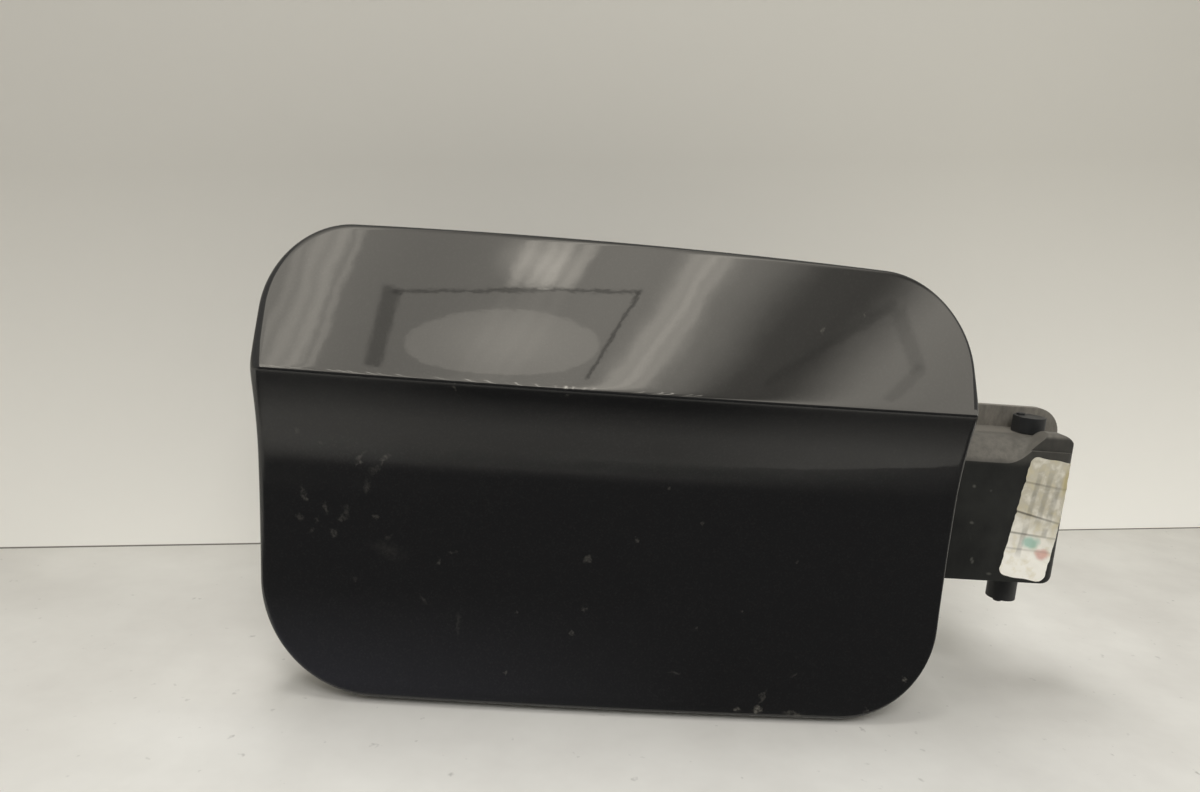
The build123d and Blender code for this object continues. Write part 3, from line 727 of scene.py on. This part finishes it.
# Paint of the panel, sizes in mm
paintSpec = {
    "colour": "#0d0d0d",
    "flake": "#181817",
    "flakes": {"Scale": 1 / (0.5 * mm)},  # real flake 0.05, drawn coarser to show
    "flakeShown": (0.55, 1.0),
    "shader": {"Roughness": 0.5, "Specular IOR Level": 0.2, "Coat Weight": 1.0, "Coat Roughness": 0.025,
               "Coat IOR": 1.6},
    "peel": {"Scale": 1 / (4 * mm), "Detail": 2},  # orange peel
    "peelBump": {"Strength": 0.02, "Distance": 0.3 * mm},
    "dust": "#8b877d",
    "grime": {"Scale": 1 / (1.3 * mm), "Detail": 3, "Roughness": 0.6, "Distortion": 1.2},
    "grimeThin": (0.36, 0.6, 0.2, 0.85),
    "smear": {"Scale": 1 / (1.8 * mm), "Detail": 2},
    "smearReach": 4,  # the strokes' edges wander this far
    "strokes": (  # x, z, half sizes, turn, strength
        (-218.2, -15.2, 3.2, 0.9, 56, 0.23), (-221.1, -18.6, 3.0, 1.2, 38, 0.12),
        (-225.6, -15.1, 3.2, 0.9, 51, 0.15), (-225.8, -16.7, 1.5, 0.7, 74, 0.25),
        (-223.3, -23.8, 3.6, 0.7, 81, 0.14), (-242.7, -26.5, 1.6, 0.9, -55, 0.16),
        (-241.8, -28.8, 1.5, 1.1, -57, 0.28), (-235.4, -31.8, 3.1, 0.7, -71, 0.19),
        (-243.1, -35.3, 1.8, 0.7, -19, 0.15), (-237.8, -36.0, 1.2, 0.7, -39, 0.15),
        (-230.7, -34.4, 2.1, 0.7, 21, 0.21), (-239.3, -39.2, 1.4, 0.9, 53, 0.17),
        (-232.8, -39.5, 2.0, 1.0, -65, 0.24), (-229.0, -32.3, 2.7, 0.6, -76, 0.11),
        (-220.0, -33.4, 1.2, 0.6, -77, 0.23), (-216.0, -39.5, 1.6, 0.9, 23, 0.10),
        (-225.8, -53.5, 1.3, 0.8, -88, 0.15), (-204.4, -59.4, 2.4, 0.7, -47, 0.11),
        (-193.2, -66.1, 5.8, 0.7, -89, 0.08), (-200.2, -46.7, 1.6, 0.7, 29, 0.17),
        (-196.3, -42.8, 1.7, 0.6, -8, 0.14), (-244.4, -8.1, 1.6, 0.9, -81, 0.10),
        (-237.2, -11.0, 1.1, 0.7, -77, 0.10), (-216.0, -44.0, 8.0, 3.0, -20, 0.05),
        (-95.3, -84.7, 3.7, 0.5, 68, 0.2), (-103.0, -89.2, 1.7, 0.8, 13, 0.5),
        (-96.3, -88.8, 2.0, 0.9, -16, 0.6), (-84.5, -89.6, 4.6, 0.6, -4, 0.25),
        (-124.0, -78.0, 2.4, 0.6, -6, 0.15), (-85.5, -77.4, 2.1, 0.6, 21, 0.14),
        (-60.6, -87.7, 1.2, 0.7, 2, 0.25), (-48.7, -77.5, 1.4, 1.0, -58, 0.5)),
    "speckStrength": 0.22,
    "specks": (  # x, z, radius
        (-154.6, -42.7, 1.4), (-154.3, -59.1, 0.9), (-177.4, -80.6, 0.8), (-157.5, -67.0, 0.7),
        (-175.2, -60.9, 0.6), (-139.5, -35.6, 0.8), (-119.3, -29.0, 0.8), (-87.8, -40.0, 0.7),
        (-103.9, -56.9, 0.6), (-118.2, -63.1, 0.6), (-86.4, 32.9, 1.1), (-72.1, 38.3, 0.8),
        (-197.4, 9.6, 0.8), (-164.8, 9.5, 0.7), (-130.6, -18.4, 0.6)),
}


def makePanelPaint(spec):
    # Black two-coat car paint: clear coat gives sharp reflections over a nearly black base with fine flake.
    # Age gives dried dirt at the left and at the foot, and a few pale specks, two of them just under the
    # crease.
    material, tree, place, shader = startMaterial("blackClearcoatPaint", spec["shader"])
    flake = addNode(tree, "TexVoronoi", spec["flakes"], {"Vector": place})
    sparkle = addNode(tree, "MapRange", fromTo(spec["flakeShown"]), {"Value": flake.node.outputs["Color"]})
    colour = blendColour(tree, sparkle, spec["colour"], spec["flake"])
    grime = addNode(tree, "TexNoise", spec["grime"], {"Vector": place})
    thin = addNode(tree, "MapRange", fromTo(spec["grimeThin"]), {"Value": grime})
    smear = addNode(tree, "TexNoise", spec["smear"], {"Vector": place})
    moved = addNode(tree, "VectorMath", {0: smear.node.outputs["Color"], 1: (0.5, 0.5, 0.5)},
                    operation="SUBTRACT")
    reach = spec["smearReach"] * mm
    ragged = addNode(tree, "VectorMath", {0: moved, 1: (reach, 0, reach), 2: place}, operation="MULTIPLY_ADD")
    specks = [(x, z, radius, radius, 0, spec["speckStrength"]) for x, z, radius in spec["specks"]]
    masks = [strokeMask(tree, ragged, stroke) for stroke in (*spec["strokes"], *specks)]
    dirt = joinMasks(tree, "MAXIMUM", masks)
    dirt = addNode(tree, "Math", {0: dirt, 1: thin}, operation="MULTIPLY")
    tree.links.new(blendColour(tree, dirt, colour, spec["dust"]), shader.inputs["Base Color"])
    ripple = addNode(tree, "TexNoise", spec["peel"], {"Vector": place})
    peel = addNode(tree, "Bump", spec["peelBump"], {"Height": ripple})
    tree.links.new(peel, shader.inputs["Coat Normal"])
    return material


# Plain finishes, each with a cloudy colour. A noise is its size in mm and its detail.
acetal = {"noises": ((3, 4),), "rough": (0, 1, 0.42, 0.6), "bump": 0.1, "edge": 0.3}
plainSpecs = {
    "blackPrimer": {  # dry overspray inside the tray: dull and a little sandy
        "colours": ("#161718", "#222324"), "noises": ((9, 5), (0.5, 2)), "shader": {"Roughness": 0.62},
        "bump": 0.25,
    },
    # black acetal from a smooth mould: a soft gloss and slightly greasy patches
    "acetalPin": {"colours": ("#1d1e1f", "#2b2c2d"), **acetal},
    "acetalStriker": {"colours": ("#1e1f1f", "#2c2d2d"), **acetal},
    "zincPlatedSteel": {  # plated screws: grey, a little cloudy, shiny in patches
        "colours": ("#9a9a97", "#c6c5c0"), "noises": ((1.5, 4),), "shader": {"Metallic": 1},
        "rough": (0, 1, 0.25, 0.5),
    },
    "epdmRubber": {  # black rubber: matt with a grey bloom
        "colours": ("#141414", "#2b2b2a"), "noises": ((2.5, 5),), "shader": {"Roughness": 0.75}, "bump": 0.3,
    },
}
bumpHeight = 0.1  # mm


def makePlain(name):
    # the first noise gives the colour and the patches of gloss, the last one the bumps
    spec = plainSpecs[name]
    material, tree, place, shader = startMaterial(name, spec.get("shader"))
    noises = [addNode(tree, "TexNoise", {"Scale": 1 / (size * mm), "Detail": detail}, {"Vector": place})
              for size, detail in spec["noises"]]
    tree.links.new(blendColour(tree, noises[0], *spec["colours"]), shader.inputs["Base Color"])
    if "rough" in spec:
        gloss = addNode(tree, "MapRange", fromTo(spec["rough"]), {"Value": noises[0]})
        tree.links.new(gloss, shader.inputs["Roughness"])
    if "bump" in spec:
        bump = addNode(tree, "Bump", {"Strength": spec["bump"], "Distance": bumpHeight * mm},
                       {"Height": noises[-1]})
        if "edge" in spec:
            rounded = addNode(tree, "Bevel", {"Radius": spec["edge"] * mm}, samples=6)
            tree.links.new(rounded, bump.node.inputs["Normal"])
        tree.links.new(bump, shader.inputs["Normal"])
    return material


paintedPanel = makePanelMesh(panelSpec, makePanelPaint(paintSpec), makePlain("blackPrimer"))
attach(paintedPanel, "door")
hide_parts("outer_panel")
print("panel made,", len(paintedPanel.data.polygons), "faces")


# Carrier with its hinge arm, sizes in mm
carrierSpec = {
    "colours": ("#1b1c1a", "#292a27"),
    "clouds": {"Scale": 1 / (11 * mm), "Detail": 6, "Roughness": 0.6},
    "cloudTone": (0.35, 0.7),
    "scuff": "#8d8b82",
    "scuffs": (  # as the paint's strokes
        (-24.9, -16.7, 0.9, 0.5, -10, 0.3), (-23.8, -29.5, 1.1, 0.4, -4, 0.25),
        (-21.9, -42.4, 1.1, 0.4, 70, 0.25), (-21.4, -43.3, 1.0, 0.4, 72, 0.25),
        (-15.0, -47.3, 1.3, 0.4, -2, 0.25), (-18.9, -17.9, 0.6, 0.4, -39, 0.15)),
    # pale film: road dust and painted top light together
    "dust": "#807b72",
    "dustAndLightHeight": (-9.0, -6.5),  # road dust and painted top light lie above the front edge of the shoulder
    "dustLedge": (0.2, 0.65, 0.2, 0.6),  # more on what faces up
    "dustAndLightBehind": (-8, -2),  # and on all that lies behind the block's front
    "dustAndLightFront": (0.6, 0.1, 0.1, 1),  # little on what faces back
    "dustFilm": (0.3, 0.66, 0.55, 1.0),
    "rub": {"Scale": 1 / (2.2 * mm), "Detail": 4, "Roughness": 0.7},
    "rubStretch": 0.35,
    "rough": (0.3, 0.7, 0.4, 0.56),
    "grain": {"Scale": 1 / (0.35 * mm), "Detail": 2},
    "grainBump": {"Strength": 0.25, "Distance": 0.08 * mm},
    "edge": 0.35,  # moulded edges
}


def makeFilledNylon(spec):
    # Black glass-filled nylon, spark-eroded mould: satin, faint grain, grey where it was rubbed, and a pale
    # film on the ledges that face up or lie open to the gap round the door, which is road dust and painted top
    # light together
    material, tree, place, shader = startMaterial("glassFilledNylon")
    cloud = addNode(tree, "TexNoise", spec["clouds"], {"Vector": place})
    tone = addNode(tree, "MapRange", fromTo(spec["cloudTone"]), {"Value": cloud})
    colour = blendColour(tree, tone, *spec["colours"])
    scuffs = joinMasks(tree, "MAXIMUM", [strokeMask(tree, place, stroke) for stroke in spec["scuffs"]])
    colour = blendColour(tree, scuffs, colour, spec["scuff"])
    streak = addNode(tree, "Mapping", {"Scale": (1, 1, spec["rubStretch"])}, {"Vector": place})
    rub = addNode(tree, "TexNoise", spec["rub"], {"Vector": streak})
    axes = addNode(tree, "SeparateXYZ", {0: place}).node.outputs
    facing = addNode(tree, "SeparateXYZ", {0: addNode(tree, "TexCoord").node.outputs["Normal"]}).node.outputs
    # pale film of road dust and painted top light: more on what faces up and lies behind the front, little on
    # what faces back
    upDustAndLight = addNode(tree, "MapRange", fromTo(spec["dustLedge"]), {"Value": facing["Z"]})
    behind = addNode(tree, "MapRange", fromTo(spec["dustAndLightBehind"], mm), {"Value": axes["Y"]})
    placedDustAndLight = addNode(tree, "Math", {0: upDustAndLight, 1: behind}, operation="MAXIMUM")
    dust = addNode(tree, "MapRange", fromTo(spec["dustAndLightHeight"], mm), {"Value": axes["Z"]})
    film = addNode(tree, "MapRange", fromTo(spec["dustFilm"]), {"Value": rub})
    frontDustAndLight = addNode(tree, "MapRange", fromTo(spec["dustAndLightFront"]), {"Value": facing["Y"]})
    dust = joinMasks(tree, "MULTIPLY", [dust, placedDustAndLight, film, frontDustAndLight])
    tree.links.new(blendColour(tree, dust, colour, spec["dust"]), shader.inputs["Base Color"])
    rough = addNode(tree, "MapRange", fromTo(spec["rough"]), {"Value": rub})
    tree.links.new(rough, shader.inputs["Roughness"])
    grain = addNode(tree, "TexNoise", spec["grain"], {"Vector": place})
    rounded = addNode(tree, "Bevel", {"Radius": spec["edge"] * mm}, samples=6)
    bump = addNode(tree, "Bump", spec["grainBump"], {"Height": grain, "Normal": rounded})
    tree.links.new(bump, shader.inputs["Normal"])
    return material


# Label: a creased paper sticker bent round the front right corner of the pivot block, in mm
labelSpec = {
    "centre": (-1.1, -27.2),
    "size": (16.3, 42.6),
    "tilt": -7.0,  # degrees
    "corner": 2.4,
    "front": -17.0,  # y of the block's face
    "bendFrom": 5.3,  # x where the block's corner starts
    "bend": 3.0,
    "grid": (72, 180),
    "creases": ((12.5, -0.02, 0.1), (1.3, -0.11, 0.2), (-5.2, 0.02, 0.14),
                (-10.6, 0.05, 0.07)),  # height, slope, ridge
    "ridgeWidth": 0.5,
    "nick": (0.7, 1.6),  # length at the edge, depth for each mm of ridge
    "stand": (0.01, 0.1),  # back and face off the block
    "ripple": (0.05, 0.03),  # height of the long and the short waves
    "edgeWaves": (0.1, 0.06, 0.12),  # how far the cut edges wander: long and short at the sides, at the ends
    # greyer top and paler foot: painted shade and light on the sheet
    "top": "#c3bdab",
    "foot": "#fffcf2",
    "topFrom": (-15, 4),  # heights where the foot's colour turns to the top's
    "clouds": {"Scale": 1 / (5 * mm), "Detail": 6, "Roughness": 0.65},
    "cloudDrift": (0, 1, -0.008, 0.008),  # metres
    "aged": "#d3c592",
    "blotches": {"Scale": 1 / (4.5 * mm), "Detail": 3, "Roughness": 0.6, "Distortion": 0.3},
    "blotchAged": (0.5, 0.66, 0, 0.32),
    "blotchClean": (0.5, 0.36, 0, 0.35),
    "grey": "#6f6d68",
    "bars": ((-3.6, 8.5, 0.9, 9.0), (0.2, 8.5, 1.0, 9.5), (3.7, 7.5, 1.1, 8.0), (-3.4, -8.0, 1.0, 5.5),
             (3.6, -4.0, 1.0, 1.6)),  # centre, half sizes
    "barEdge": (1.2, 0.6),
    "worn": {"Scale": 1 / (3.5 * mm), "Detail": 1},
    "wornInk": (0.25, 0.75, 0.2, 0.5),
    "stains": (("#5fb09d", (0.1, -8.2), (3.3, 2.3)), ("#cf7f74", (5.0, -11.4), (2.6, 2.2)),
               ("#b3a46c", (6.2, 15.0), (1.8, 5.5))),  # colour, centre, half sizes
    "stainEdge": (1.15, 0.5, 0, 0.6),
    "stainRagged": (0, 1, -0.5, 0.5),
    # dark lines under the creases: grime and painted shade of the ridges
    "creaseGrimeAndShade": "#4a463d",
    "creaseDarkWidth": (0.55, 0.15),
    "creaseDarkBelow": 0.35,  # below the crease
    "creaseDarkStrength": 3.6,  # for each mm of ridge
    "creaseDarkRight": (-3, 5, 1, 0.5),  # weaker to the right
    "fibre": {"Scale": 1 / (0.6 * mm), "Detail": 3},
    "fibreBump": {"Strength": 0.2, "Distance": 0.1 * mm},
    "rough": 0.6,
}


def makeLabelMesh(spec, paper):
    # Sheet on a grid (across, along): across runs to the outline, a rounded rectangle with a nick at each
    # crease. The face stands off the block by a ripple of sines and, at each crease, by a sharp ridge
    # exp(-distance / width). The sheet is laid round the corner by length of arc.
    across, along = (np.linspace(-1, 1, count) for count in spec["grid"])
    width, length = spec["size"]
    corner, tilt = spec["corner"], radians(spec["tilt"])
    nickLength, nickDepth = spec["nick"]
    longSide, shortSide, atEnds = spec["edgeWaves"]
    longRipple, shortRipple = spec["ripple"]
    behind, before = spec["stand"]
    v = along[:, None] * length / 2
    past = np.maximum(np.abs(v) - (length / 2 - corner), 0)
    half = width / 2 - corner + np.sqrt(corner**2 - past**2)
    nick = sum(ridge * np.exp(-((v - at) / nickLength) ** 2) for at, slope, ridge in spec["creases"])
    u = across[None] * (half - nick * nickDepth + longSide * np.sin(v * 0.9) + shortSide * np.sin(v * 2.3 + 1))
    v = v + atEnds * np.sin(u * 0.8 + 0.5) + 0 * u
    lift = before + longRipple * np.sin(0.55 * u + 0.8 * v) * np.cos(0.7 * u - 0.45 * v)
    lift += shortRipple * np.sin(1.7 * v + 0.6 * u)
    lift += sum(ridge * np.exp(-np.abs(v - at - slope * u) / spec["ridgeWidth"])
                for at, slope, ridge in spec["creases"])
    s = spec["centre"][0] + u * cos(tilt) - v * sin(tilt)  # length along the block's faces
    z = spec["centre"][1] + u * sin(tilt) + v * cos(tilt)
    bendFrom, bend = spec["bendFrom"], spec["bend"]
    turned = np.clip((s - bendFrom) / bend, 0, np.pi / 2)
    beyond = np.maximum(s - bendFrom - bend * np.pi / 2, 0)

    def laid(lift):
        # straight up to the corner, round it on a circle, straight again
        radius = bend + lift
        x = np.minimum(s, bendFrom) + radius * np.sin(turned)
        y = spec["front"] + bend - radius * np.cos(turned) + beyond
        return np.stack([x, y, z], -1)

    face, back = laid(lift), laid(behind + 0 * lift)
    rows, cols = face.shape[:2]
    index = np.arange(rows * cols).reshape(rows, cols)
    quads = gridFaces(index)
    border = np.r_[index[0, :-1], index[:-1, -1], index[-1, :0:-1], index[:0:-1, 0]]
    nextBorder = np.roll(border, -1)
    band = np.stack([nextBorder, border, border + rows * cols, nextBorder + rows * cols], -1)
    label = meshObject("paperLabel", np.r_[face.reshape(-1, 3), back.reshape(-1, 3)],
                       [quads, quads[:, ::-1] + rows * cols, band], [paper])
    flat = np.stack([u, v, 0 * u], -1).reshape(-1, 3) * mm
    onSheet = label.data.attributes.new("onSheet", "FLOAT_VECTOR", "POINT")
    onSheet.data.foreach_set("vector", np.r_[flat, flat].ravel())
    return label


def makeLabelPaper(spec):
    # Cream paper sticker with a matt coating: greyer at the top and pale at the foot as painted shade and
    # light, soft grey bars, dark lines under the creases that are partly grime and partly painted shade, and
    # faded colour patches
    material, tree, place, shader = startMaterial("stickerPaper", {"Roughness": spec["rough"]})
    sheet = addNode(tree, "Attribute", attribute_name="onSheet").node.outputs["Vector"]
    axes = addNode(tree, "SeparateXYZ", {0: sheet}).node.outputs
    cloud = addNode(tree, "TexNoise", spec["clouds"], {"Vector": sheet})
    drift = addNode(tree, "MapRange", fromTo(spec["cloudDrift"]), {"Value": cloud})
    # painted shade and light: greyer towards the top, paler at the foot
    rise = addNode(tree, "Math", {0: axes["Y"], 1: drift}, operation="ADD")
    up = addNode(tree, "MapRange", fromTo(spec["topFrom"], mm), {"Value": rise})
    colour = blendColour(tree, up, spec["foot"], spec["top"])
    blotch = addNode(tree, "TexNoise", spec["blotches"], {"Vector": sheet})
    for marks, over in (("blotchAged", "aged"), ("blotchClean", "foot")):
        patch = addNode(tree, "MapRange", fromTo(spec[marks]), {"Value": blotch})
        colour = blendColour(tree, patch, colour, spec[over])

    worn = addNode(tree, "TexNoise", spec["worn"], {"Vector": sheet})
    left = addNode(tree, "MapRange", fromTo(spec["wornInk"]), {"Value": worn})
    for x, y, half, long in spec["bars"]:
        local = addNode(tree, "Mapping", {"Location": (x * mm, y * mm, 0), "Scale": (half * mm, long * mm, 1)},
                        {"Vector": sheet}, vector_type="TEXTURE")
        size = addNode(tree, "VectorMath", {0: local}, operation="ABSOLUTE")
        sides = addNode(tree, "SeparateXYZ", {0: size}).node.outputs
        reach = addNode(tree, "Math", {0: sides["X"], 1: sides["Y"]}, operation="MAXIMUM")
        inside = addNode(tree, "MapRange", fromTo(spec["barEdge"]), {"Value": reach})
        ink = addNode(tree, "Math", {0: inside, 1: left}, operation="MULTIPLY")
        colour = blendColour(tree, ink, colour, spec["grey"])

    ragged = addNode(tree, "MapRange", fromTo(spec["stainRagged"]), {"Value": worn})
    for stain, (x, y), (half, long) in spec["stains"]:
        local = addNode(tree, "Mapping", {"Location": (x * mm, y * mm, 0), "Scale": (half * mm, long * mm, 1)},
                        {"Vector": sheet}, vector_type="TEXTURE")
        out = addNode(tree, "VectorMath", {0: local}, operation="LENGTH").node.outputs["Value"]
        edge = addNode(tree, "Math", {0: out, 1: ragged}, operation="ADD")
        mask = addNode(tree, "MapRange", fromTo(spec["stainEdge"]), {"Value": edge})
        colour = blendColour(tree, mask, colour, stain)

    # painted shade and grime under each crease, weaker to the right
    weaker = addNode(tree, "MapRange", fromTo(spec["creaseDarkRight"], mm), {"Value": axes["X"]})
    for at, slope, ridge in spec["creases"]:
        lean = addNode(tree, "Math", {0: axes["X"], 1: -slope, 2: -at * mm}, operation="MULTIPLY_ADD")
        off = addNode(tree, "Math", {0: axes["Y"], 1: lean}, operation="ADD")
        low = addNode(tree, "Math", {0: off, 1: spec["creaseDarkBelow"] * mm}, operation="ADD")
        near = addNode(tree, "Math", {0: low}, operation="ABSOLUTE")
        marks = (*spec["creaseDarkWidth"], 0, spec["creaseDarkStrength"] * ridge)
        creaseGrimeAndShade = addNode(tree, "MapRange", fromTo(marks, mm), {"Value": near})
        creaseGrimeAndShade = addNode(tree, "Math", {0: creaseGrimeAndShade, 1: weaker}, operation="MULTIPLY", use_clamp=True)
        colour = blendColour(tree, creaseGrimeAndShade, colour, spec["creaseGrimeAndShade"])
    tree.links.new(colour, shader.inputs["Base Color"])
    fibre = addNode(tree, "TexNoise", spec["fibre"], {"Vector": place})
    bump = addNode(tree, "Bump", spec["fibreBump"], {"Height": fibre})
    tree.links.new(bump, shader.inputs["Normal"])
    return material


paperLabel = makeLabelMesh(labelSpec, makeLabelPaper(labelSpec))
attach(paperLabel, "door")
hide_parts("blank_label")
print("label made,", len(paperLabel.data.polygons), "faces")

rubber = makePlain("epdmRubber")
finishes = {
    "inner_carrier": makeFilledNylon(carrierSpec),
    "hinge_pin": makePlain("acetalPin"),
    "latch_striker": makePlain("acetalStriker"),
    "carrier_screws": makePlain("zincPlatedSteel"),
    "upper_buffer": rubber,
    "lower_buffer": rubber,
}
for name, finish in finishes.items():
    nodes[name].material_slots[0].material = finish
print("finishes on", len(finishes), "solids")
